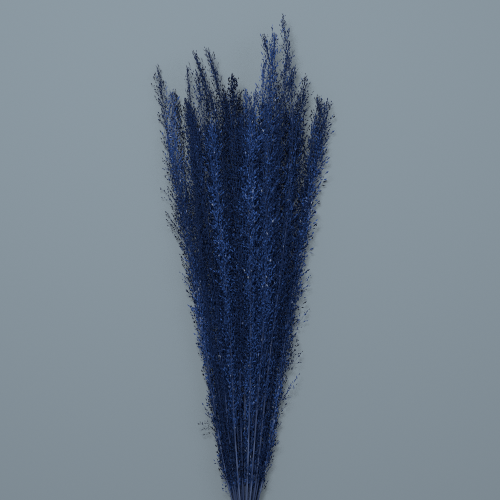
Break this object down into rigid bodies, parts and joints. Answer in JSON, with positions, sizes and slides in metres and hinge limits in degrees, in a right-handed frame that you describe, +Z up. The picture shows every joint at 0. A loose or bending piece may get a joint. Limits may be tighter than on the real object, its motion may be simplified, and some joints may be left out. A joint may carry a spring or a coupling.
{
  "type": "bundle of dried grass",
  "caption": "Tied bundle of dyed dried grass lying down: straight stems spread into long narrow feathery panicles, bound near the cut ends with wound twine.",
  "frame": {"origin": "middle of the bundle's underside, on the surface that it lies on", "axes": "+Y along the stalks from the cut ends to the tips, +X across the fan, +Z up from the surface"},
  "size_m": [0.2108, 0.6998, 0.0614],
  "materials": {
    "dyed_grass": "matte",
    "twine": "matte"
  },
  "bodies": {
    "root": {"stalk_01": "dyed_grass", "stalk_02": "dyed_grass", "stalk_03": "dyed_grass", "stalk_04": "dyed_grass", "stalk_05": "dyed_grass", "stalk_06": "dyed_grass", "stalk_07": "dyed_grass", "stalk_08": "dyed_grass", "stalk_09": "dyed_grass", "stalk_10": "dyed_grass", "stalk_11": "dyed_grass", "stalk_12": "dyed_grass", "stalk_13": "dyed_grass", "stalk_14": "dyed_grass", "stalk_15": "dyed_grass", "stalk_16": "dyed_grass", "stalk_17": "dyed_grass", "stalk_18": "dyed_grass", "stalk_19": "dyed_grass", "stalk_20": "dyed_grass", "stalk_21": "dyed_grass", "stalk_22": "dyed_grass", "stalk_23": "dyed_grass", "stalk_24": "dyed_grass", "stalk_25": "dyed_grass", "stalk_26": "dyed_grass", "stalk_27": "dyed_grass", "stalk_28": "dyed_grass", "stalk_29": "dyed_grass", "stalk_30": "dyed_grass", "stalk_31": "dyed_grass", "stalk_32": "dyed_grass", "stalk_33": "dyed_grass", "stalk_34": "dyed_grass", "stalk_35": "dyed_grass", "stalk_36": "dyed_grass", "stalk_37": "dyed_grass", "stalk_38": "dyed_grass", "stalk_39": "dyed_grass", "stalk_40": "dyed_grass", "stalk_41": "dyed_grass", "stalk_42": "dyed_grass", "stalk_43": "dyed_grass", "stalk_44": "dyed_grass", "stalk_45": "dyed_grass", "stalk_46": "dyed_grass", "stalk_47": "dyed_grass", "stalk_48": "dyed_grass", "stalk_49": "dyed_grass", "stalk_50": "dyed_grass", "stalk_51": "dyed_grass", "stalk_52": "dyed_grass", "stalk_53": "dyed_grass", "stalk_54": "dyed_grass", "stalk_55": "dyed_grass", "stalk_56": "dyed_grass", "stalk_57": "dyed_grass", "stalk_58": "dyed_grass", "tie": "twine"}
  },
  "joints": []
}
